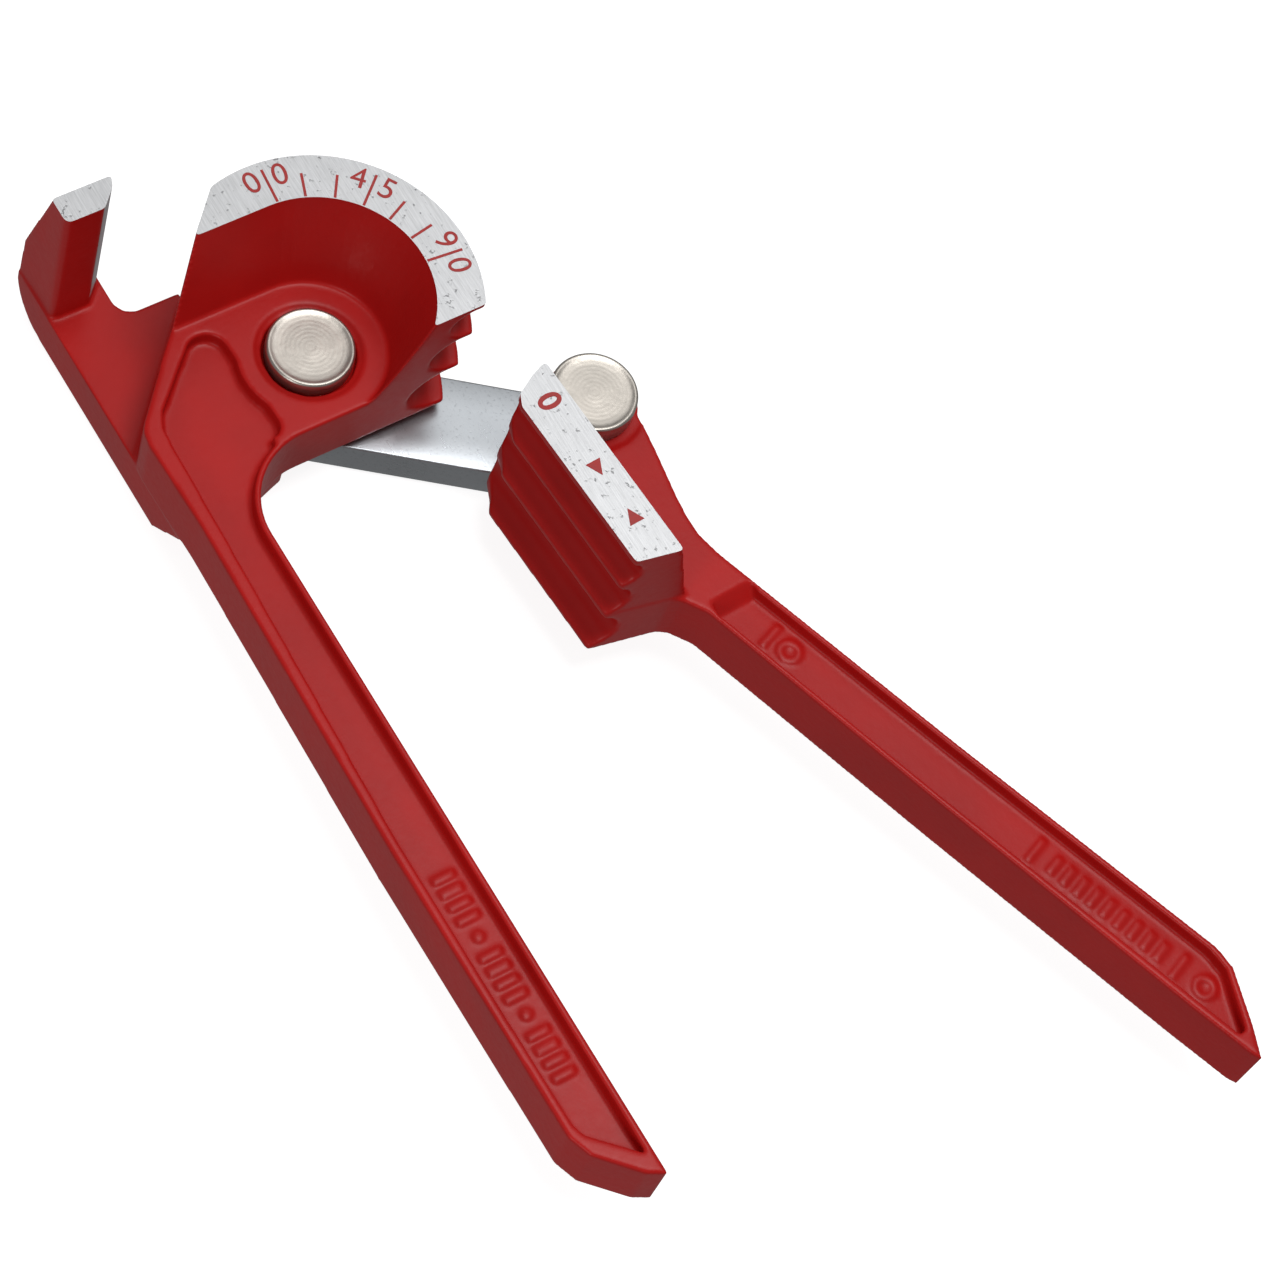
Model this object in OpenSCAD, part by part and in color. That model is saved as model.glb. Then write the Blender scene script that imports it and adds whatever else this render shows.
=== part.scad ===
// Manual tube bender: a former arm, a shoe arm and the link bar between their two pivots.
// The origin is on the former's pivot axis at the underside of the link bar.
// +X runs along the former arm's handle, away from the pivot, and +Z points up. Millimetres.

/* [Tubes] */
// Outside diameter of the tube in the top groove
tube_top = 6.35; // [6.2:0.05:6.4]
// Outside diameter of the tube in the middle groove
tube_mid = 7.94; // [7.8:0.02:8]
// Outside diameter of the tube in the bottom groove
tube_low = 9.53; // [9.4:0.01:9.6]
// How much wider each groove is than its tube
groove_play = 0.1; // [0.05:0.05:0.15]
// Distance from the former's pivot to the outer side of a wrapped tube
wrap_r = 25.7; // [25.5:0.1:25.9]

/* [Former] */
// Radius of the former's top lip
lip_r = 23.8; // [23.6:0.1:24]
// How much each lower lip steps in from the one above
lip_step = 0.6; // [0.5:0.05:0.65]
// Height of the top and bottom lips
lip_end_h = 1.2; // [1.1:0.05:1.3]
// Height of the lips between two grooves
lip_mid_h = 1; // [0.9:0.05:1.1]
// Inner radius of the former's wall at its top face
bowl_top_r = 16.6; // [16.2:0.1:16.8]
// Radius of the deck inside the former's wall
bowl_deck_r = 12; // [11.6:0.1:12.4]
// Distance from the pivot to the former's flat end face
former_end = 11.5; // [11.2:0.1:11.8]

/* [Hook] */
// Distance from the pivot to the hook's tube face
hook_face = 26.2; // [26:0.1:26.6]
// Length of the hook's top face along the handle direction
hook_top_len = 4.5; // [4:0.1:5]
// Thickness of the plate that carries the hook
plate_h = 8.7; // [8.5:0.1:9]

/* [Handles] */
// Height of both arms from underside to rim
arm_h = 11.5; // [11:0.1:12]
// Depth of the pocket along each handle
pocket_depth = 2.5; // [2:0.1:3]
// Distance from the pivot to the former handle's tip
former_reach = 134.6; // [125:0.5:145]
// Distance from the shoe's pivot to its handle's tip
shoe_reach = 138.9; // [130:0.5:150]
// Height of the raised marks on the pocket floors
mark_h = 0.4; // [0.2:0.1:0.6]

/* [Link and pins] */
// Distance between the two pivots
link_len = 43; // [42.8:0.1:43.4]
// Direction of the link bar from the former's handle
link_angle = 53.2; // [50:0.2:56]
// Width of the link bar
link_w = 15.3; // [15:0.1:15.5]
// Thickness of the link bar
link_t = 6.4; // [6.2:0.1:6.6]
// Gap between the link bar and the arms, filled by the washers
washer_gap = 1.8; // [1.6:0.1:2]
// Radius of the pin heads
head_r = 6.8; // [6.6:0.1:6.9]
// Thickness of the pin heads
head_h = 3.2; // [3:0.1:3.4]
// Radius of the pin shanks
shank_r = 4; // [3.6:0.1:4.2]
// Radial clearance of a pin in its arm
pin_play = 0.05; // [0.03:0.01:0.08]

/* [Shoe] */
// Turn of the shoe arm's handle from the former's handle
shoe_angle = 19.9; // [14:0.2:28]
// Turn of the shoe's face from its own handle
shoe_face_turn = -16.2; // [-18:0.2:-15]
// Distance from the shoe's pivot to its top lip
shoe_lip = 17.8; // [17.6:0.05:17.85]
// Length of the shoe's top face along the grooves
shoe_len = 30.9; // [29:0.1:32]

/* [Hidden] */
$fn = 96;
eps = 0.01;
big = 60;

tubes = [tube_top, tube_mid, tube_low];
grooves = [for (t = tubes) t + groove_play];
base_z = link_t + washer_gap;
deck_z = base_z + arm_h;
top_z = base_z + 2 * lip_end_h + 2 * lip_mid_h + grooves[0] + grooves[1] + grooves[2];
slope_deg = atan((bowl_top_r - bowl_deck_r) / (top_z - deck_z));
shoe_pivot = [link_len * cos(link_angle), link_len * sin(link_angle), 0];
counterbore_z = deck_z - 1.7;
spot_depth = 0.4;
slide_gap = 0.05;

// Top edge and centre height of groove i, counted from the top
function groove_top(i) = i == 0 ? top_z - lip_end_h : groove_top(i - 1) - grooves[i - 1] - lip_mid_h;
function groove_z(i) = groove_top(i) - grooves[i] / 2;
// Lip i fills the height between the centres of the grooves above and below it
function lip_top(i) = i == 0 ? top_z : groove_z(i - 1);
function lip_bottom(i) = i == 3 ? base_z : groove_z(i);

// Section of groove i with the former's axis at x = 0: a half-round bottom and straight sides
module groove_section(i) {
    centre_r = wrap_r - tubes[i] / 2;
    translate([centre_r, groove_z(i)]) circle(d = grooves[i]);
    translate([centre_r, groove_z(i) - grooves[i] / 2]) square([10, grooves[i]]);
}

// ---- Former arm ----

// Stepped lips as whole discs, before the grooves are cut
module former_lips() {
    for (i = [0 : 3])
        translate([0, 0, lip_bottom(i)])
            cylinder(r = lip_r - i * lip_step, h = lip_top(i) - lip_bottom(i));
}

// Half a turn of each groove, then its straight run-out past the pivot
module former_grooves() {
    for (i = [0 : 2]) {
        rotate_extrude(angle = 180) groove_section(i);
        rotate([90, 0, 0]) linear_extrude(big) mirror([1, 0]) groove_section(i);
    }
}

// Plan of the former: cut off flat at its end face and along the slanted left wall
module former_plan() {
    polygon([[former_end, -big], [former_end, big], [-big, big], [-big, 30.2], [31.7, -60]]);
}

// Plan of the arm below the deck, with its round corner into the handle
module former_arm_plan() {
    corner = 12.5;
    difference() {
        polygon([
            [-16, -1], [former_end, -1], [former_end, -7.6], [former_end + corner, -7.6],
            [former_end + corner, -20.1], [former_reach, -19.8], [former_reach - 1.5, -22.6],
            [former_reach - 7.4, -28.2], [former_reach - 11.1, -29.6], [75, -30], [18, -28.9],
            [3.5, -29.3], [1.2, -28.9], [-0.1, -28.1], [-9.8, -19.2], [-19.8, -9.35]
        ]);
        translate([former_end + corner, -7.6]) circle(r = corner);
    }
}

// Space above the deck: a bowl that opens towards the handle and the left wall
module former_bowl() {
    rise = big - deck_z;
    run = rise * tan(slope_deg);
    translate([0, 0, deck_z]) cylinder(r1 = bowl_deck_r, r2 = bowl_deck_r + run, h = rise);
    rotate([90, 0, 0]) linear_extrude(big)
        polygon([[-bowl_deck_r, deck_z], [big, deck_z], [big, big], [-bowl_deck_r - run, big]]);
}

// Pocket that starts round the pivot and runs down the handle
module former_pocket() {
    boss_r = 11.2;
    translate([0, 0, deck_z - pocket_depth]) linear_extrude(pocket_depth + 1) {
        difference() {
            union() {
                translate([-6.4, -13.9]) circle(r = 3.2);
                translate([8, -12.1]) circle(r = 2.2);
                polygon([
                    [-6.4, -10.7], [8, -9.9], [10.2, -12.1], [24.1, -15], [24.1, -26.7],
                    [4.5, -26.1], [1.9, -25.9], [-0.7, -24.6], [-8.7, -16.1]
                ]);
            }
            circle(r = boss_r);
            translate([former_end + 12.5, -7.6]) circle(r = 13.5);
        }
        polygon([
            [24, -21.1], [former_reach - 4, -21], [former_reach - 10.4, -27.4],
            [former_reach - 12.6, -28.1], [75, -28.4], [24, -26.7]
        ]);
    }
}

// Raised marks on the pocket floor: one group of short ribs for each groove, with a dot between groups
module former_marks() {
    first_x = 81;
    middle_y = -24.7;
    rib = [1.1, 3.4, mark_h];
    rib_pitch = 2.3;
    group_pitch = 13.2;
    dot_x = 10.6;
    dot_r = 0.8;
    translate([first_x, middle_y, deck_z - pocket_depth - eps]) for (group = [0 : 2]) {
        for (i = [0 : 3])
            translate([group * group_pitch + i * rib_pitch, -rib[1] / 2, 0]) cube(rib);
        if (group < 2)
            translate([group * group_pitch + dot_x, 0, 0]) cylinder(r = dot_r, h = mark_h, $fn = 24);
    }
}

// Plate under the tube's path, with a round inner corner, a round heel and a slanted front end
module hook_plate() {
    corner = 3;
    inner = -22.4;
    intersection() {
        linear_extrude(plate_h) {
            difference() {
                union() {
                    polygon([
                        [-40, -28.8], [20, -28.8], [10.5, -8.6],
                        [inner, -8.6], [inner, -18.5], [-40, -18.5]
                    ]);
                    translate([inner - corner, -18.6]) square([corner, corner + 0.1]);
                }
                translate([inner - corner, -18.5 + corner]) circle(r = corner);
            }
        }
        rotate([90, 0, 0]) linear_extrude(big) {
            translate([-28.2, 8]) circle(r = 8);
            polygon([
                [-28.2, 0], [7.5, 0], [15.5, plate_h], [15.5, plate_h + 1], [-36.2, plate_h + 1], [-36.2, 8]
            ]);
        }
    }
}

// Hook that holds the tube: a flat face, a chamfer beside it and a sloping back
module hook() {
    back = hook_face + hook_top_len;
    intersection() {
        linear_extrude(top_z) {
            polygon([
                [-hook_face, -27.4], [-hook_face, -22.1], [-hook_face - 2.8, -19.3], [-back, -18.6],
                [-40, -18.5], [-40, -28.8], [-back, -28.4], [-hook_face - 1, -28.4]
            ]);
            translate([-hook_face - 1, -27.4]) circle(r = 1);
        }
        rotate([90, 0, 0]) linear_extrude(big)
            polygon([
                [-hook_face + 1, 5], [-hook_face + 1, top_z + 1], [-back, top_z + 1], [-back, top_z],
                [-35.9, 17.5], [-36.2, 8], [-34, 5]
            ]);
    }
}

module former_arm() {
    color("firebrick") {
        difference() {
            union() {
                intersection() {
                    former_lips();
                    linear_extrude(big) former_plan();
                }
                translate([0, 0, base_z]) linear_extrude(arm_h) former_arm_plan();
            }
            former_grooves();
            former_bowl();
            former_pocket();
            translate([0, 0, deck_z - 0.5]) cylinder(r = 8.2, h = big);
            translate([0, 0, counterbore_z]) cylinder(r = 7.2, h = big);
            cylinder(r = shank_r + pin_play, h = big);
        }
        hook_plate();
        hook();
        former_marks();
    }
}

// ---- Shoe arm, drawn with its own pivot at the origin and its handle along +X ----

// Turns to the shoe's face: x runs along the grooves and y points back from the face
module along_face() {
    rotate([0, 0, shoe_face_turn]) children();
}

// Plan of the shoe, before its front is cut back to the lips
module shoe_face_plan(inset) {
    polygon([
        [shoe_len - 0.8 - inset, -21], [shoe_len + 3.1 - inset, -6],
        [shoe_len + 3.1 - inset, -2], [-3 + inset, -2], [-3 + inset, -6],
        [-2.8 + inset, -11.2], [-2 + inset, -13.5], [-0.4 + inset, -16.8], [2.6, -18.3], [6, -21]
    ]);
}

// Shoe above the deck, with its back leaning towards the top face
module shoe_upper() {
    foot = deck_z - 4;
    lean = 4.2 / (top_z - deck_z);
    along_face() intersection() {
        translate([0, 0, foot]) linear_extrude(top_z - foot) shoe_face_plan(0.15);
        translate([-20, 0, 0]) rotate([90, 0, 90]) linear_extrude(70)
            polygon([
                [-30, 0], [-6.3 + deck_z * lean, 0], [-10.5 - lean, top_z + 1], [-30, top_z + 1]
            ]);
    }
}

// Space in front of the shoe's stepped lips, the lowest lip standing out furthest
module shoe_front_cut() {
    along_face() for (i = [0 : 3]) {
        low = i == 3 ? 0 : lip_bottom(i);
        high = i == 0 ? big : lip_top(i);
        translate([-10, -shoe_lip - i * lip_step - 10, low]) cube([60, 10, high - low]);
    }
}

// Shallow straight grooves that press on the outer side of each tube
module shoe_grooves() {
    floor_y = shoe_lip - (wrap_r - lip_r);
    for (i = [0 : 2]) {
        along_face() translate([-20, -floor_y - grooves[i] / 2, groove_z(i)]) rotate([0, 90, 0])
            cylinder(d = grooves[i], h = 70);
    }
}

// Plan of the shoe arm below the deck
module shoe_arm_plan() {
    circle(r = 7.5);
    polygon([
        [-6.5, -2.5], [0, 5], [4, 5], [7, 3.5], [12.8, 0.5], [19.3, -3.1], [22.6, -4.7], [26, -5.9],
        [30, -6.3], [76, -6.1], [shoe_reach - 15, -5.3], [shoe_reach - 11.3, -6.2],
        [shoe_reach - 3.9, -11.7], [shoe_reach, -15.1], [shoe_reach - 1.7, -15.5],
        [shoe_reach - 12.5, -15.7], [79, -15.7],
        [35, -15.3], [31, -16.5], [28.9, -18.2], [26.8, -21], [-5.4, -10]
    ]);
}

// Pocket along the shoe arm's handle, with a ramp at its start
module shoe_pocket() {
    floor_z = deck_z - pocket_depth;
    ramp_len = 2.4;
    translate([0, 0, floor_z]) linear_extrude(pocket_depth + 1)
        polygon([
            [38.4, -7.2], [76, -7.1], [shoe_reach - 15.6, -6.4], [shoe_reach - 12, -7.2],
            [shoe_reach - 4.4, -13], [shoe_reach - 4.6, -14.2], [79, -14.7], [36.2, -14.4]
        ]);
    translate([36.2, -14.4, 0]) rotate([0, 0, -17]) translate([0, 7.5, 0])
        rotate([90, 0, 0]) linear_extrude(7.5)
        polygon([
            [-0.1 * ramp_len / pocket_depth, floor_z + 0.1], [1, floor_z + 0.1], [1, deck_z + 1],
            [-ramp_len * (1 + 1 / pocket_depth), deck_z + 1]
        ]);
}

// Raised marks on the pocket floor: bars, rings and a row of short ribs
module shoe_marks() {
    middle_y = -10.7;
    bar = [0.9, 4.4, mark_h];
    rib = [1.1, 3.2, mark_h];
    rib_x = 97.5;
    rib_pitch = 2.5;
    ring_r = 1.9;
    ring_hole_r = 1.1;
    translate([0, middle_y, deck_z - pocket_depth - eps]) {
        for (x = [43.5, 94, 121])
            translate([x, -bar[1] / 2, 0]) cube(bar);
        for (x = [47.6, 126.2])
            translate([x, 0, 0]) difference() {
                cylinder(r = ring_r, h = mark_h, $fn = 32);
                translate([0, 0, -1]) cylinder(r = ring_hole_r, h = 3, $fn = 32);
            }
        for (i = [0 : 8])
            translate([rib_x + rib_pitch * i, -rib[1] / 2, 0]) cube(rib);
    }
}

module shoe_arm() {
    color("firebrick") translate(shoe_pivot) rotate([0, 0, shoe_angle]) {
        difference() {
            union() {
                translate([0, 0, base_z]) linear_extrude(arm_h) {
                    shoe_arm_plan();
                    along_face() shoe_face_plan(0);
                }
                shoe_upper();
            }
            shoe_front_cut();
            shoe_grooves();
            shoe_pocket();
            translate([0, 0, deck_z - spot_depth]) cylinder(r = 8.6, h = spot_depth + head_h + 1.2);
            cylinder(r = shank_r + pin_play, h = big);
        }
        shoe_marks();
    }
}

// ---- Link bar, pins and washers ----

module link_bar() {
    color("silver") rotate([0, 0, link_angle]) difference() {
        linear_extrude(link_t) {
            circle(d = link_w);
            translate([link_len, 0]) circle(d = link_w);
            translate([0, -link_w / 2]) square([link_len, link_w]);
        }
        for (x = [0, link_len]) translate([x, 0, -1]) cylinder(r = shank_r, h = big);
    }
}

// Pin with a dished head: the shank is riveted flush with the link bar's underside
module pin(seat_z, head) {
    dish = 0.2;
    rim = 0.7;
    edge = 0.4;
    low = seat_z + slide_gap;
    color("lightgray") difference() {
        union() {
            cylinder(r = shank_r, h = seat_z + 1);
            translate([0, 0, low]) cylinder(r = head_r, h = head - edge);
            translate([0, 0, low + head - edge]) cylinder(r1 = head_r, r2 = head_r - 0.3, h = edge);
        }
        translate([0, 0, low + head - dish]) cylinder(r = head_r - rim, h = 1);
    }
}

module former_pin() {
    pin(counterbore_z, head_h);
}

module shoe_pin() {
    translate(shoe_pivot) pin(deck_z - spot_depth, head_h + spot_depth);
}

// Spacer washer between the link bar and an arm
module washer() {
    color("gray") difference() {
        translate([0, 0, link_t]) cylinder(r = 7, h = washer_gap - slide_gap);
        cylinder(r = shank_r, h = big);
    }
}

module former_washer() {
    washer();
}

module shoe_washer() {
    translate(shoe_pivot) washer();
}

former_arm();
shoe_arm();
link_bar();
former_pin();
shoe_pin();
former_washer();
shoe_washer();
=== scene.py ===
"""Manual tube bender: rounded, powder-coated castings, machined faces, plated link bar and nickel pins."""
import math

import bmesh
import bpy
from bpy.props import FloatProperty, FloatVectorProperty, IntProperty, PointerProperty
from mathutils import Matrix, Vector


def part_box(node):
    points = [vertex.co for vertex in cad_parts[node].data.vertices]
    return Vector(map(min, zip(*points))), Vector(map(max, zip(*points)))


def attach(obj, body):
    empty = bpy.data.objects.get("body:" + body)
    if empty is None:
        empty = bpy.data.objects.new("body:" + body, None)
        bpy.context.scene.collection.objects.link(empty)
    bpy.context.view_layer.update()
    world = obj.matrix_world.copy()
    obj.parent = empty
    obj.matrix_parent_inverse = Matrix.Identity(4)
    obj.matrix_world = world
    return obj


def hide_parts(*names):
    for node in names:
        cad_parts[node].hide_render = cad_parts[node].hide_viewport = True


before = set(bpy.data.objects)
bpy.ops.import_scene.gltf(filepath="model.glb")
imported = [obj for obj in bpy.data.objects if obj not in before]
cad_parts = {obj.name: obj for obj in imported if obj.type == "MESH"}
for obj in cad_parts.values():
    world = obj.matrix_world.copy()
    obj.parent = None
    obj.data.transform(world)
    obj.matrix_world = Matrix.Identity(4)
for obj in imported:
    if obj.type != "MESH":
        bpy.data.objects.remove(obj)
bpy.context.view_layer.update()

bl_info = {
    "name": "Tube Bender Finish",
    "version": (1, 0, 0),
    "blender": (4, 5, 0),
    "location": "View3D > Sidebar > Bender",
    "description": "Finishes the castings, pins, marks and stage of a manual tube bender",
    "category": "Object",
}

MM = 0.001
TOP_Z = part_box("former_arm")[1][2]
FORMER_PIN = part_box("former_pin")
SHOE_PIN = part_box("shoe_pin")
SHOE_X = (SHOE_PIN[0][0] + SHOE_PIN[1][0]) / 2
SHOE_Y = (SHOE_PIN[0][1] + SHOE_PIN[1][1]) / 2
SHOE_FACE_TURN = math.radians(3.7)
SEATS = {"former_pin": 18.06 * MM, "shoe_pin": 19.36 * MM}
SHANK_R = 4 * MM
LINK_HALF_WIDTH = 7.65 * MM
LINK_EDGE = 0.35 * MM
MARK_DEPTH = 0.3 * MM

# Angle scale, in degrees and metres: seven lines, of which every third one is numbered
SCALE_LINES = 7
SCALE_START = 175
SCALE_STEP = -15
SCALE_INNER_R = 16.7 * MM
NUMERAL_R = 20.9 * MM
NUMERAL_SPREAD = 6.2

# Index marks on the shoe: distance along its face, and how far they are in front of its pivot
INDEX_MARKS = {"zero": 2.9 * MM, "right": 15.5 * MM, "left": 24.3 * MM}
INDEX_FRONT = -13.9 * MM


# ---- Sizes and colours that a user may change ----

class BenderSizes(bpy.types.PropertyGroup):
    """Sizes of the surface work on the bender, in metres"""

    grain: FloatProperty(
        name="Casting grain", description="Cell size of the rounded casting meshes",
        default=0.0003, min=0.00025, max=0.001, unit="LENGTH", precision=5)
    edge_steps: IntProperty(
        name="Edge smoothing", description="Smoothing passes that round the cast edges",
        default=9, min=1, max=20)
    thinning: FloatProperty(
        name="Thinning", description="Share of the casting meshes' triangles that is kept",
        default=0.5, min=0.1, max=1.0, subtype="FACTOR")
    mark_height: FloatProperty(
        name="Mark height", description="How far the filled marks stand above the machined faces",
        default=0.00003, min=0.00001, max=0.0002, unit="LENGTH", precision=5)
    tick_width: FloatProperty(
        name="Tick width", description="Width of one line of the angle scale",
        default=0.00042, min=0.0002, max=0.001, unit="LENGTH", precision=5)
    tick_long: FloatProperty(
        name="Long tick", description="Length of the numbered lines of the angle scale",
        default=0.0058, min=0.003, max=0.007, unit="LENGTH", precision=5)
    tick_short: FloatProperty(
        name="Short tick", description="Length of the lines between the numbered ones",
        default=0.0040, min=0.002, max=0.006, unit="LENGTH", precision=5)
    numeral: FloatProperty(
        name="Numeral size", description="Font size of the digits on the machined faces",
        default=0.0052, min=0.003, max=0.006, unit="LENGTH", precision=5)


class BenderColours(bpy.types.PropertyGroup):
    """Colours of the bender's finishes, as linear values"""

    coat: FloatVectorProperty(
        name="Powder coat", description="Red coat on both castings", subtype="COLOR",
        size=3, min=0, max=1, default=(0.44, 0.0085, 0.0075))
    machined: FloatVectorProperty(
        name="Machined face", description="Bare metal of the milled faces", subtype="COLOR",
        size=3, min=0, max=1, default=(0.57, 0.575, 0.585))
    plate: FloatVectorProperty(
        name="Plated link", description="Zinc plate on the link bar and washers", subtype="COLOR",
        size=3, min=0, max=1, default=(0.38, 0.40, 0.42))
    nickel: FloatVectorProperty(
        name="Nickel pins", description="Nickel plate on the two pins", subtype="COLOR",
        size=3, min=0, max=1, default=(0.44, 0.41, 0.37))
    mark: FloatVectorProperty(
        name="Mark fill", description="Paint in the scale's lines, digits and arrowheads", subtype="COLOR",
        size=3, min=0, max=1, default=(0.36, 0.015, 0.013))
    floor: FloatVectorProperty(
        name="Floor", description="Plain studio floor and backdrop", subtype="COLOR",
        size=3, min=0, max=1, default=(0.35, 0.35, 0.35))


# ---- Shader maths ----

class Wire:
    """One shader socket; arithmetic on it adds Math nodes."""

    def __init__(self, tree, socket):
        self.tree = tree
        self.socket = socket

    def math(self, operation, *others):
        return node(self.tree, "ShaderNodeMath", {"operation": operation}, {
            i: value for i, value in enumerate((self,) + others)})

    def __add__(self, other):
        return self.math("ADD", other)

    def __radd__(self, other):
        return self.math("ADD", other)

    def __mul__(self, other):
        return self.math("MULTIPLY", other)

    def __rmul__(self, other):
        return self.math("MULTIPLY", other)

    def __sub__(self, other):
        return self.math("SUBTRACT", other)

    def __rsub__(self, other):
        return self.math("MULTIPLY", -1.0).math("ADD", other)


def node(tree, kind, settings, inputs, output=0):
    """Adds a node: settings first, then values or links on its sockets; returns one output as a Wire."""
    made = tree.nodes.new(kind)
    for key, value in settings.items():
        if key == "stops":
            ramp = made.color_ramp.elements
            while len(ramp) < len(value):
                ramp.new(1.0)
            for element, (place, level) in zip(ramp, value):
                element.position = place
                element.color = (level, level, level, 1)
        else:
            setattr(made, key, value)
    for key, value in inputs.items():
        socket = made.inputs[key]
        if isinstance(value, Wire):
            tree.links.new(value.socket, socket)
        else:
            socket.default_value = value
    return Wire(tree, made.outputs[output])


def new_finish(name):
    """A fresh material with its tree, its shader node and object coordinates."""
    material = bpy.data.materials.new(name)
    material.use_nodes = True
    tree = material.node_tree
    shader = tree.nodes["Principled BSDF"]
    place = node(tree, "ShaderNodeTexCoord", {}, {}, "Object")
    return material, tree, shader, place


def noise(tree, place, per_metre, detail=3.0, roughness=0.55):
    return node(tree, "ShaderNodeTexNoise", {}, {
        "Vector": place, "Scale": per_metre, "Detail": detail, "Roughness": roughness}, "Fac")


def ramp(tree, value, *stops):
    return node(tree, "ShaderNodeValToRGB", {"stops": stops}, {"Fac": value}, "Color")


def blend(tree, factor, first, second):
    """Mixes two colours by factor."""
    return node(tree, "ShaderNodeMix", {"data_type": "RGBA"}, {
        0: factor, 6: first, 7: second}, 2)


def bump(tree, shader, height, distance, strength):
    raised = node(tree, "ShaderNodeBump", {}, {
        "Height": height, "Distance": distance, "Strength": strength}, "Normal")
    tree.links.new(raised.socket, shader.inputs["Normal"])


def feed(tree, shader, socket, wire):
    tree.links.new(wire.socket, shader.inputs[socket])


def tint(colour, factor):
    return tuple(min(1.0, c * factor) for c in colour) + (1.0,)


def coat_finish(colour):
    """Satin powder coat: orange peel, soft mottling and uneven gloss."""
    material, tree, shader, place = new_finish("powder_coat")
    broad = noise(tree, place, 55.0)
    peel = noise(tree, place, 900.0, 2.0)
    grain = noise(tree, place, 3200.0, 2.0)
    mottled = blend(tree, ramp(tree, broad, (0.3, 0.0), (0.7, 1.0)), tint(colour, 0.9), tint(colour, 1.1))
    feed(tree, shader, "Base Color", blend(tree, grain * 0.25, mottled, tint(colour, 0.72)))
    feed(tree, shader, "Roughness", broad * 0.16 + peel * 0.12 + 0.22)
    bump(tree, shader, peel * 0.75 + grain * 0.25, 0.00006, 0.55)
    shader.inputs["Specular IOR Level"].default_value = 0.2
    return material


def machined_finish(colour):
    """Milled zinc: fine brush lines, dark pores and uneven gloss."""
    material, tree, shader, place = new_finish("machined_face")
    lines = node(tree, "ShaderNodeMapping", {}, {
        "Vector": place, "Rotation": (0, 0, math.radians(35)), "Scale": (0.05, 1.0, 1.0)})
    brushed = noise(tree, lines, 4200.0, 4.0, 0.65)
    pits = noise(tree, place, 1100.0, 3.0, 0.6)
    pores = ramp(tree, pits, (0.30, 1.0), (0.37, 0.0))
    worn = noise(tree, place, 150.0, 4.0)
    lit = blend(tree, ramp(tree, brushed, (0.3, 0.0), (0.7, 1.0)), tint(colour, 0.62), tint(colour, 1.1))
    cloudy = blend(tree, ramp(tree, worn, (0.35, 0.0), (0.65, 1.0)), tint(colour, 0.86), tint(colour, 1.04))
    mixed = blend(tree, 0.45, lit, cloudy)
    feed(tree, shader, "Base Color", blend(tree, pores * 0.7, mixed, tint(colour, 0.3)))
    feed(tree, shader, "Roughness", brushed * 0.2 + worn * 0.14 + 0.26)
    bump(tree, shader, brushed * 0.8 - pores, 0.00004, 0.7)
    shader.inputs["Metallic"].default_value = 0.8
    return material


def plate_finish(colour):
    """Dull zinc plate: cold mottling, specks and faint scratches."""
    material, tree, shader, place = new_finish("zinc_plate")
    cloudy = noise(tree, place, 90.0, 4.0)
    specks = ramp(tree, noise(tree, place, 1700.0, 3.0, 0.7), (0.56, 0.0), (0.68, 1.0))
    lines = node(tree, "ShaderNodeMapping", {}, {
        "Vector": place, "Rotation": (0, 0, math.radians(-53)), "Scale": (0.04, 1.0, 1.0)})
    drawn = noise(tree, lines, 2600.0, 2.0)
    lit = blend(tree, cloudy, tint(colour, 0.82), tint(colour, 1.15))
    feed(tree, shader, "Base Color", blend(tree, specks * 0.5, lit, tint(colour, 0.62)))
    feed(tree, shader, "Roughness", cloudy * 0.18 + drawn * 0.1 + 0.16)
    bump(tree, shader, drawn * 0.6 - specks * 0.4, 0.00003, 0.5)
    shader.inputs["Metallic"].default_value = 0.9
    return material


def nickel_finish(name, colour, centre):
    """Warm nickel plate with turning rings about the pin's own axis."""
    material, tree, shader, place = new_finish(name)
    about = node(tree, "ShaderNodeVectorMath", {"operation": "SUBTRACT"}, {0: place, 1: centre}, "Vector")
    flat = node(tree, "ShaderNodeVectorMath", {"operation": "MULTIPLY"}, {0: about, 1: (1, 1, 0)}, "Vector")
    radius = node(tree, "ShaderNodeVectorMath", {"operation": "LENGTH"}, {0: flat}, "Value")
    rings = (radius * 9000.0).math("SINE") * 0.5 + 0.5
    wide = (radius * 2300.0).math("SINE") * 0.5 + 0.5
    cloudy = noise(tree, place, 420.0, 4.0)
    lit = blend(tree, cloudy, tint(colour, 0.78), tint(colour, 1.18))
    feed(tree, shader, "Base Color", blend(tree, wide * 0.12, lit, tint(colour, 0.75)))
    feed(tree, shader, "Roughness", cloudy * 0.22 + rings * 0.05 + 0.22)
    bump(tree, shader, rings * 0.12 + wide * 0.12 + cloudy * 1.4, 0.00005, 0.8)
    shader.inputs["Metallic"].default_value = 0.95
    return material


def mark_finish(colour):
    """Dull red paint in the marks, thin in places."""
    material, tree, shader, place = new_finish("mark_paint")
    thin = noise(tree, place, 1400.0, 2.0)
    feed(tree, shader, "Base Color", blend(tree, thin, tint(colour, 0.75), tint(colour, 1.3)))
    feed(tree, shader, "Roughness", thin * 0.2 + 0.45)
    return material


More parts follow.
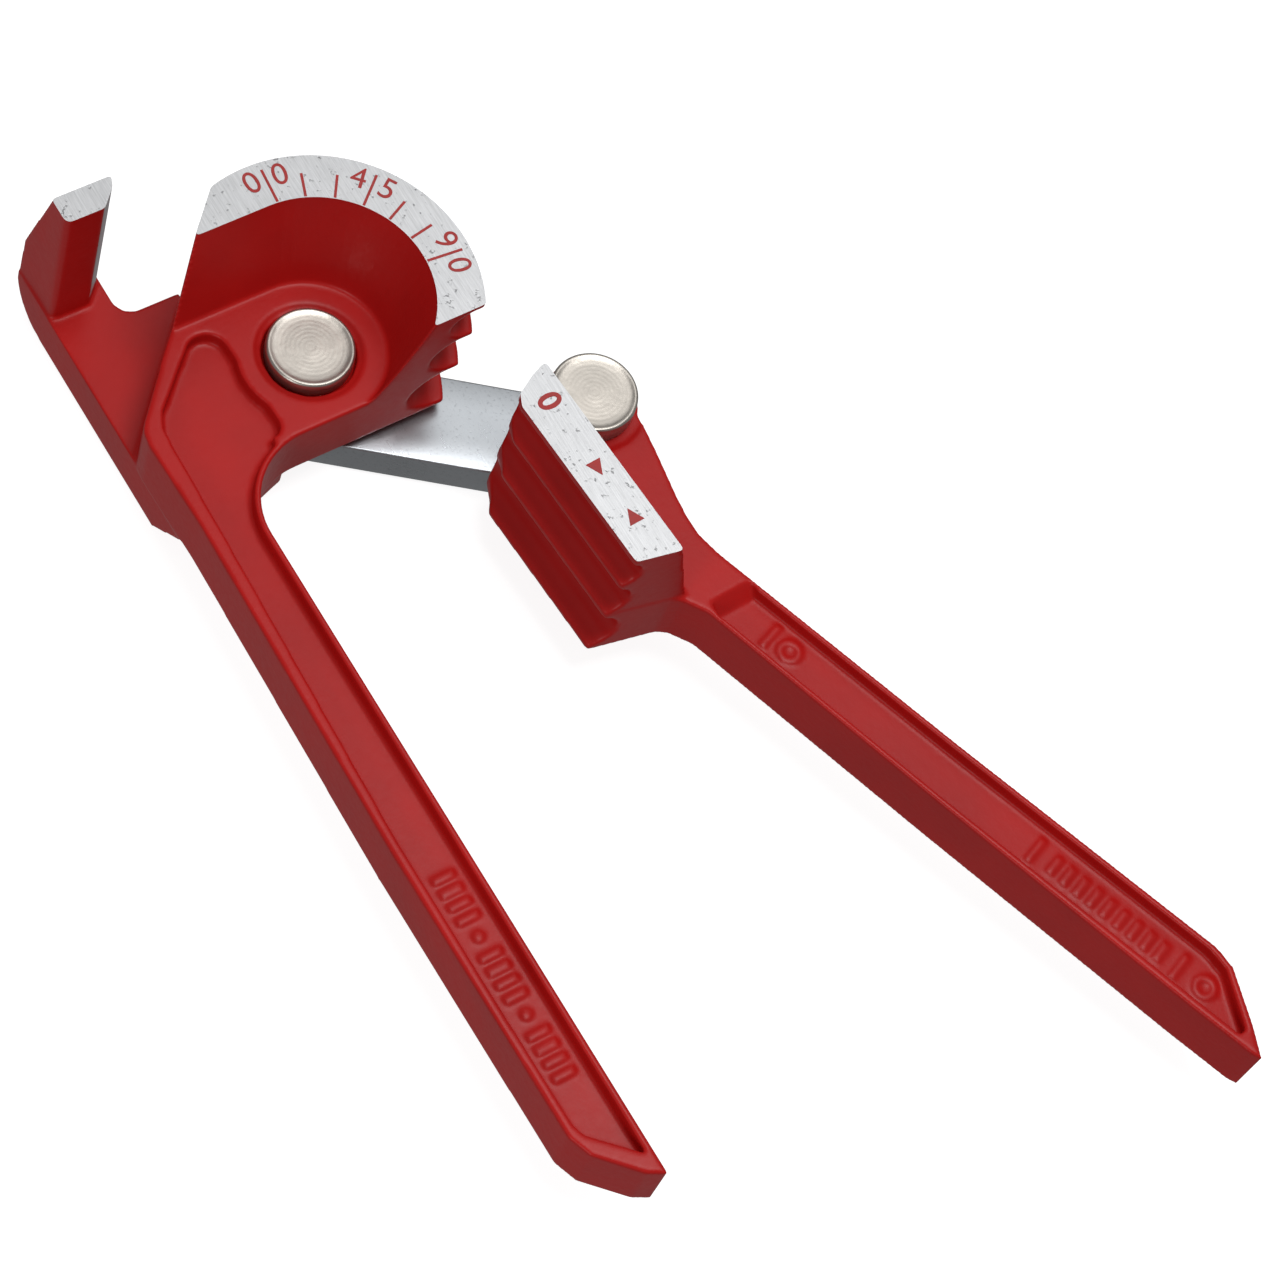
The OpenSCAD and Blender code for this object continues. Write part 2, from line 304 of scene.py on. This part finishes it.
def floor_finish(colour):
    material, tree, shader, place = new_finish("studio_floor")
    soft = noise(tree, place, 3.0)
    feed(tree, shader, "Base Color", blend(tree, soft, tint(colour, 0.99), tint(colour, 1.0)))
    shader.inputs["Roughness"].default_value = 0.9
    shader.inputs["Emission Color"].default_value = (1, 1, 1, 1)
    shader.inputs["Emission Strength"].default_value = 0.88
    return material


# ---- Mesh helpers ----

def add_piece(name, mesh, materials, body, slot, *replaced):
    """Links a finished mesh at the origin and tells the frame where it rides."""
    piece = bpy.data.objects.new(name, mesh)
    bpy.context.scene.collection.objects.link(piece)
    for material in materials:
        mesh.materials.append(material)
    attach(piece, body)
    if replaced:
        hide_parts(*replaced)
    return piece


def welded_copy(node_name):
    """A bmesh of a CAD node with its loose triangles merged."""
    shape = bmesh.new()
    shape.from_mesh(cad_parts[node_name].data)
    bmesh.ops.remove_doubles(shape, verts=shape.verts, dist=1e-6)
    return shape


def to_mesh(shape, name):
    mesh = bpy.data.meshes.new(name)
    shape.to_mesh(mesh)
    shape.free()
    return mesh


def evaluated(mesh, name, modifiers):
    """Runs modifiers, given as (type, settings), over a mesh and returns the plain result."""
    holder = bpy.data.objects.new(name, mesh)
    bpy.context.scene.collection.objects.link(holder)
    for kind, settings in modifiers:
        modifier = holder.modifiers.new(kind.lower(), kind)
        for key, value in settings.items():
            setattr(modifier, key, value)
    graph = bpy.context.evaluated_depsgraph_get()
    result = bpy.data.meshes.new_from_object(holder.evaluated_get(graph))
    bpy.data.objects.remove(holder)
    return result


def rounded_casting(node_name, grain, steps, ratio):
    """The CAD casting with cast edges rounded and its machined top faces cut flat again."""
    stock = 1.6 * MM
    shape = welded_copy(node_name)
    tops = [f for f in shape.faces if f.normal.z > 0.99 and f.calc_center_median().z > TOP_Z - 1e-5]
    grown = bmesh.ops.extrude_face_region(shape, geom=tops)["geom"]
    raised = [v for v in grown if isinstance(v, bmesh.types.BMVert)]
    bmesh.ops.translate(shape, verts=raised, vec=(0, 0, stock))
    mesh = evaluated(to_mesh(shape, node_name + "_stock"), node_name + "_stock", [
        ("REMESH", {"mode": "VOXEL", "voxel_size": grain}),
        ("SMOOTH", {"factor": 0.5, "iterations": steps}),
        ("DECIMATE", {"ratio": ratio}),
    ])
    cast = bmesh.new()
    cast.from_mesh(mesh)
    everything = list(cast.verts) + list(cast.edges) + list(cast.faces)
    cut = bmesh.ops.bisect_plane(
        cast, geom=everything, dist=1e-7, plane_co=(0, 0, TOP_Z - 1e-5), plane_no=(0, 0, 1),
        clear_outer=True)
    rim = [e for e in cut["geom_cut"] if isinstance(e, bmesh.types.BMEdge)]
    for face in cast.faces:
        face.smooth = True
    caps = bmesh.ops.edgeloop_fill(cast, edges=rim, mat_nr=1)["faces"]
    for face in caps:
        face.smooth = False
        if face.normal.z < 0:
            face.normal_flip()
    for edge in rim:
        edge.smooth = False
    bmesh.ops.triangulate(cast, faces=caps)
    return cast


def lathe(profile, centre, segments=96):
    """Turns (radius, height) points about a vertical axis into a closed mesh."""
    shape = bmesh.new()
    rings = []
    for radius, height in profile:
        if radius < 1e-7:
            rings.append([shape.verts.new((centre[0], centre[1], height))])
            continue
        rings.append([shape.verts.new((
            centre[0] + radius * math.cos(2 * math.pi * i / segments),
            centre[1] + radius * math.sin(2 * math.pi * i / segments), height)) for i in range(segments)])
    for low, high in zip(rings, rings[1:]):
        for i in range(segments):
            j = (i + 1) % segments
            corners = [low[i % len(low)], low[j % len(low)], high[j % len(high)], high[i % len(high)]]
            unique = list(dict.fromkeys(corners))
            if len(unique) > 2:
                shape.faces.new(unique)
    bmesh.ops.recalc_face_normals(shape, faces=shape.faces)
    for face in shape.faces:
        face.smooth = True
    return shape


def drilled_bar(thick, half, hole_r, edge):
    """A round-ended bar between the two pivots, with softened edges and a hole at each pivot."""
    shape = bmesh.new()
    turn = math.atan2(SHOE_Y, SHOE_X)

    def outline(inset, height):
        points = []
        for centre, start in (((0.0, 0.0), turn + math.pi / 2), ((SHOE_X, SHOE_Y), turn - math.pi / 2)):
            for i in range(49):
                angle = start + math.pi * i / 48
                reach = half - inset
                points.append((
                    centre[0] + reach * math.cos(angle), centre[1] + reach * math.sin(angle), height))
        return [shape.verts.new(point) for point in points]

    def hole(centre, height):
        return [shape.verts.new((
            centre[0] + hole_r * math.cos(2 * math.pi * i / 64),
            centre[1] + hole_r * math.sin(2 * math.pi * i / 64), height)) for i in range(64)]

    def wall(first, second):
        for i in range(len(first)):
            j = (i + 1) % len(first)
            shape.faces.new((first[i], first[j], second[j], second[i]))

    steps = [math.radians(30 * k) for k in range(4)]
    rings = [outline(edge * (1 - math.sin(a)), edge * (1 - math.cos(a))) for a in steps]
    rings += [outline(edge * (1 - math.cos(a)), thick - edge * (1 - math.sin(a))) for a in steps]
    for first, second in zip(rings, rings[1:]):
        wall(first, second)
    holes = [[hole(centre, height) for height in (0.0, thick)] for centre in ((0.0, 0.0), (SHOE_X, SHOE_Y))]
    for first, second in holes:
        wall(first, second)
    for level, ring in ((0, rings[0]), (1, rings[-1])):
        loops = [ring] + [pair[level] for pair in holes]
        edges = []
        for loop in loops:
            for i in range(len(loop)):
                ends = (loop[i], loop[(i + 1) % len(loop)])
                edges.append(shape.edges.get(ends) or shape.edges.new(ends))
        bmesh.ops.triangle_fill(shape, edges=edges, use_beauty=True)
    bmesh.ops.recalc_face_normals(shape, faces=shape.faces)
    return shape


def numeral(digit, size, height, weight, place, turn):
    """One raised digit as a mesh: centred on place and turned about Z."""
    curve = bpy.data.curves.new("numeral_" + digit, "FONT")
    curve.body = digit
    curve.size = size
    curve.align_x = "CENTER"
    curve.align_y = "CENTER"
    curve.extrude = height
    curve.offset = weight
    holder = bpy.data.objects.new("numeral_" + digit, curve)
    bpy.context.scene.collection.objects.link(holder)
    graph = bpy.context.evaluated_depsgraph_get()
    mesh = bpy.data.meshes.new_from_object(holder.evaluated_get(graph))
    bpy.data.objects.remove(holder)
    mesh.transform(Matrix.Translation(place) @ Matrix.Rotation(turn, 4, "Z"))
    return mesh


def arrowhead(length, height, place, turn, way):
    """A raised flat arrowhead as a mesh: it points along X when way is 1 and against it when way is -1."""
    corners = [(-way * length / 2, -length / 2), (way * length / 2, 0), (-way * length / 2, length / 2)]
    shape = bmesh.new()
    base = shape.faces.new([shape.verts.new((x, y, -height)) for x, y in corners])
    grown = bmesh.ops.extrude_face_region(shape, geom=[base])["geom"]
    raised = [v for v in grown if isinstance(v, bmesh.types.BMVert)]
    bmesh.ops.translate(shape, verts=raised, vec=(0, 0, 2 * height))
    bmesh.ops.recalc_face_normals(shape, faces=shape.faces)
    mesh = to_mesh(shape, "arrowhead")
    mesh.transform(Matrix.Translation(place) @ Matrix.Rotation(turn, 4, "Z"))
    return mesh


# ---- Geometry Nodes: the lines of the angle scale ----

def scale_tree(paint):
    """Ticks round the former: every third one is long, and all start at the wall's inner edge."""
    tree = bpy.data.node_groups.new("angle_scale", "GeometryNodeTree")
    face = tree.interface
    for name, kind, default in (
            ("Count", "NodeSocketInt", 7), ("First Angle", "NodeSocketFloat", 3.054),
            ("Step", "NodeSocketFloat", -0.2618), ("Inner Radius", "NodeSocketFloat", 0.0166),
            ("Long", "NodeSocketFloat", 0.0058), ("Short", "NodeSocketFloat", 0.004),
            ("Width", "NodeSocketFloat", 0.0004), ("Height", "NodeSocketFloat", 0.0003),
            ("Face Z", "NodeSocketFloat", 0.0367)):
        face.new_socket(name=name, in_out="INPUT", socket_type=kind).default_value = default
    face.new_socket(name="Geometry", in_out="OUTPUT", socket_type="NodeSocketGeometry")
    given = tree.nodes.new("NodeGroupInput").outputs

    def wire(name):
        return Wire(tree, given[name])

    index = node(tree, "GeometryNodeInputIndex", {}, {})
    angle = index * wire("Step") + wire("First Angle")
    is_short = index.math("MODULO", 3.0).math("MINIMUM", 1.0)
    length = is_short * (wire("Short") - wire("Long")) + wire("Long")
    middle = length * 0.5 + wire("Inner Radius")
    spot = node(tree, "ShaderNodeCombineXYZ", {}, {
        "X": angle.math("COSINE") * middle, "Y": angle.math("SINE") * middle, "Z": wire("Face Z")})
    points = node(tree, "GeometryNodePoints", {}, {"Count": wire("Count"), "Position": spot})
    bar = node(tree, "GeometryNodeMeshCube", {}, {"Size": node(tree, "ShaderNodeCombineXYZ", {}, {
        "X": 1.0, "Y": wire("Width"), "Z": wire("Height")})})
    turned = node(tree, "ShaderNodeCombineXYZ", {}, {"X": 0.0, "Y": 0.0, "Z": angle})
    stretched = node(tree, "ShaderNodeCombineXYZ", {}, {"X": length, "Y": 1.0, "Z": 1.0})
    placed = node(tree, "GeometryNodeInstanceOnPoints", {}, {
        "Points": points, "Instance": bar, "Rotation": turned, "Scale": stretched})
    solid = node(tree, "GeometryNodeRealizeInstances", {}, {"Geometry": placed})
    painted = node(tree, "GeometryNodeSetMaterial", {}, {"Geometry": solid, "Material": paint})
    out = tree.nodes.new("NodeGroupOutput")
    tree.links.new(painted.socket, out.inputs["Geometry"])
    return tree


def run_tree(tree, values):
    """Evaluates a node tree on an empty mesh, with inputs given by name, and returns the plain mesh."""
    holder = bpy.data.objects.new("holder", bpy.data.meshes.new("holder"))
    bpy.context.scene.collection.objects.link(holder)
    modifier = holder.modifiers.new("nodes", "NODES")
    modifier.node_group = tree
    for item in tree.interface.items_tree:
        if item.in_out == "INPUT" and item.name in values:
            modifier[item.identifier] = values[item.name]
    graph = bpy.context.evaluated_depsgraph_get()
    mesh = bpy.data.meshes.new_from_object(holder.evaluated_get(graph))
    bpy.data.objects.remove(holder)
    return mesh


# ---- Operators ----

class BENDER_OT_former_arm(bpy.types.Operator):
    """Build the coated former arm with its bare machined faces"""

    bl_idname = "bender.former_arm"
    bl_label = "Former arm"

    def execute(self, context):
        sizes, colours = context.scene.bender_sizes, context.scene.bender_colours
        cast = rounded_casting("former_arm", sizes.grain, sizes.edge_steps, sizes.thinning)
        diagonal = Vector((1, 1, 0)).normalized()
        for face in cast.faces:
            spot = face.calc_center_median() / MM
            on_chamfer = -29.3 < spot.x < -26.0 and -22.6 < spot.y < -19.0 and spot.z > 11
            if on_chamfer and face.normal.dot(diagonal) > 0.9:
                face.material_index = 1
        materials = [coat_finish(colours.coat), machined_finish(colours.machined)]
        add_piece("former_casting", to_mesh(cast, "former_casting"), materials,
                  "former", "coated_casting", "former_arm")
        return {"FINISHED"}


class BENDER_OT_shoe_arm(bpy.types.Operator):
    """Build the coated shoe arm with its bare machined face"""

    bl_idname = "bender.shoe_arm"
    bl_label = "Shoe arm"

    def execute(self, context):
        sizes = context.scene.bender_sizes
        cast = rounded_casting("shoe_arm", sizes.grain, sizes.edge_steps, sizes.thinning)
        materials = [bpy.data.materials["powder_coat"], bpy.data.materials["machined_face"]]
        add_piece("shoe_casting", to_mesh(cast, "shoe_casting"), materials,
                  "shoe", "coated_casting", "shoe_arm")
        return {"FINISHED"}


class BENDER_OT_link_bar(bpy.types.Operator):
    """Build the plated link bar with softened edges and finish the two washers"""

    bl_idname = "bender.link_bar"
    bl_label = "Link bar and washers"

    def execute(self, context):
        plate = plate_finish(context.scene.bender_colours.plate)
        high = Vector(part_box("link_bar")[1])
        mesh = to_mesh(drilled_bar(high.z, LINK_HALF_WIDTH, SHANK_R, LINK_EDGE), "plated_link")
        for polygon in mesh.polygons:
            polygon.use_smooth = True
        mesh.set_sharp_from_angle(angle=math.radians(35))
        add_piece("plated_link", mesh, [plate], "link", "plated_steel", "link_bar")
        for name in ("former_washer", "shoe_washer"):
            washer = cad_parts[name]
            washer.data.materials.clear()
            washer.data.materials.append(plate)
        return {"FINISHED"}


class BENDER_OT_pins(bpy.types.Operator):
    """Build the two riveted pins with dished, turned heads"""

    bl_idname = "bender.pins"
    bl_label = "Pins"

    def execute(self, context):
        colour = context.scene.bender_colours.nickel
        for name, box in (("former_pin", FORMER_PIN), ("shoe_pin", SHOE_PIN)):
            low, high = Vector(box[0]), Vector(box[1])
            centre = ((low.x + high.x) / 2, (low.y + high.y) / 2, 0.0)
            head_r = (high.x - low.x) / 2
            seat = SEATS[name]
            corner = 0.45 * MM
            profile = [(0, low.z), (SHANK_R - 0.3 * MM, low.z), (SHANK_R, low.z + 0.3 * MM),
                       (SHANK_R, seat), (head_r - 0.25 * MM, seat), (head_r, seat + 0.25 * MM)]
            for i in range(7):
                turn = math.radians(15 * i)
                profile.append((
                    head_r - corner + corner * math.cos(turn), high.z - corner + corner * math.sin(turn)))
            profile += [(head_r - 0.62 * MM, high.z - 0.01 * MM), (head_r - 0.85 * MM, high.z - 0.11 * MM),
                        (head_r - 1.2 * MM, high.z - 0.17 * MM), (head_r - 2.4 * MM, high.z - 0.19 * MM),
                        (head_r * 0.35, high.z - 0.12 * MM), (head_r * 0.12, high.z - 0.10 * MM),
                        (0, high.z - 0.10 * MM)]
            finish = nickel_finish("nickel_" + name, colour, centre)
            add_piece(name + "_turned", to_mesh(lathe(profile, centre), name + "_turned"), [finish],
                      "link", "pin_steel", name)
        return {"FINISHED"}


class BENDER_OT_scale_marks(bpy.types.Operator):
    """Draw the angle scale on the former and the index marks on the shoe"""

    bl_idname = "bender.scale_marks"
    bl_label = "Scale marks"

    def execute(self, context):
        sizes = context.scene.bender_sizes
        paint = mark_finish(context.scene.bender_colours.mark)
        half = MARK_DEPTH / 2
        face_z = TOP_Z + sizes.mark_height - half
        ticks = run_tree(scale_tree(paint), {
            "Count": SCALE_LINES, "First Angle": math.radians(SCALE_START),
            "Step": math.radians(SCALE_STEP), "Inner Radius": SCALE_INNER_R,
            "Long": sizes.tick_long, "Short": sizes.tick_short, "Width": sizes.tick_width,
            "Height": MARK_DEPTH, "Face Z": face_z})
        if not ticks.polygons:
            raise RuntimeError("the angle scale came out empty")
        ticks.materials.clear()
        add_piece("angle_ticks", ticks, [paint], "former", "coated_casting")

        numerals = bmesh.new()
        for pair, lines in (("00", 0), ("45", 3), ("90", 6)):
            angle = SCALE_START + lines * SCALE_STEP
            for digit, side in zip(pair, (1, -1)):
                spot = math.radians(angle + NUMERAL_SPREAD * side)
                place = Vector((NUMERAL_R * math.cos(spot), NUMERAL_R * math.sin(spot), face_z))
                numerals.from_mesh(numeral(digit, sizes.numeral, half, 0.0, place, spot - math.pi / 2))
        add_piece("angle_numerals", to_mesh(numerals, "angle_numerals"), [paint],
                  "former", "coated_casting")

        index = bmesh.new()
        along = Matrix.Rotation(SHOE_FACE_TURN, 4, "Z")
        for mark, offset in INDEX_MARKS.items():
            place = Vector((SHOE_X, SHOE_Y, 0)) + along @ Vector((offset, INDEX_FRONT, 0))
            place.z = face_z
            if mark == "zero":
                index.from_mesh(numeral("0", sizes.numeral, half, 0.12 * MM, place, SHOE_FACE_TURN))
            else:
                way = 1 if mark == "right" else -1
                index.from_mesh(arrowhead(0.5 * sizes.numeral, half, place, SHOE_FACE_TURN, way))
        add_piece("index_marks", to_mesh(index, "index_marks"), [paint], "shoe", "coated_casting")
        return {"FINISHED"}


class BENDER_OT_stage(bpy.types.Operator):
    """Set up the plain floor, soft studio lights and the camera"""

    bl_idname = "bender.stage"
    bl_label = "Stage"

    def execute(self, context):
        scene = context.scene
        floor_mesh = bpy.data.meshes.new("floor")
        half = 3.0
        corners = [(-half, -half, 0), (half, -half, 0), (half, half, 0), (-half, half, 0)]
        floor_mesh.from_pydata(corners, [], [(0, 1, 2, 3)])
        floor = bpy.data.objects.new("floor", floor_mesh)
        floor.location.z = -0.4 * MM
        floor_mesh.materials.append(floor_finish(scene.bender_colours.floor))
        floor.visible_diffuse = False
        floor.visible_glossy = False
        scene.collection.objects.link(floor)

        world = bpy.data.worlds.new("studio")
        world.use_nodes = True
        world.node_tree.nodes["Background"].inputs["Color"].default_value = (1, 1, 1, 1)
        world.node_tree.nodes["Background"].inputs["Strength"].default_value = 0.28
        scene.world = world

        target = Vector((0.05, 0.01, 0.02))
        for name, place, size, power in (
                ("overhead", (0.08, 0.16, 0.95), 0.45, 4.6),
                ("mirror", (-0.30, 0.42, 0.80), 0.5, 1.0),
                ("side", (0.35, -0.75, 0.35), 0.30, 1.7)):
            lamp = bpy.data.lights.new(name, "AREA")
            lamp.size = size
            lamp.energy = power
            holder = bpy.data.objects.new(name, lamp)
            holder.location = place
            holder.rotation_euler = (target - Vector(place)).to_track_quat("-Z", "Y").to_euler()
            scene.collection.objects.link(holder)

        lens = bpy.data.cameras.new("camera")
        lens.lens = 112.06
        lens.sensor_width = 36.0
        lens.clip_start = 0.01
        camera = bpy.data.objects.new("camera", lens)
        right = Vector((0.519314, 0.828767, 0.208465))
        up = Vector((-0.810091, 0.399721, 0.428925))
        back = Vector((0.272151, -0.391622, 0.878957))
        turn = Matrix((right, up, back)).transposed().to_4x4()
        camera.matrix_world = Matrix.Translation((0.223862, -0.210370, 0.537173)) @ turn
        scene.collection.objects.link(camera)
        scene.camera = camera
        scene.view_settings.view_transform = "Standard"
        return {"FINISHED"}


class BENDER_PT_panel(bpy.types.Panel):
    """Sidebar panel with the bender's sizes, colours and build steps"""

    bl_idname = "BENDER_PT_panel"
    bl_label = "Tube Bender"
    bl_space_type = "VIEW_3D"
    bl_region_type = "UI"
    bl_category = "Bender"

    def draw(self, context):
        layout = self.layout
        for group in (context.scene.bender_sizes, context.scene.bender_colours):
            box = layout.box()
            for key in group.__annotations__:
                box.prop(group, key)
        for step in STEPS:
            layout.operator(step.bl_idname)


STEPS = (BENDER_OT_former_arm, BENDER_OT_shoe_arm, BENDER_OT_link_bar, BENDER_OT_pins,
         BENDER_OT_scale_marks, BENDER_OT_stage)
CLASSES = (BenderSizes, BenderColours) + STEPS + (BENDER_PT_panel,)


def register():
    for cls in CLASSES:
        bpy.utils.register_class(cls)
    bpy.types.Scene.bender_sizes = PointerProperty(type=BenderSizes)
    bpy.types.Scene.bender_colours = PointerProperty(type=BenderColours)


def unregister():
    del bpy.types.Scene.bender_colours
    del bpy.types.Scene.bender_sizes
    for cls in reversed(CLASSES):
        bpy.utils.unregister_class(cls)


def main():
    register()
    for step in STEPS:
        group, name = step.bl_idname.split(".")
        getattr(getattr(bpy.ops, group), name)()


if __name__ == "__main__":
    main()
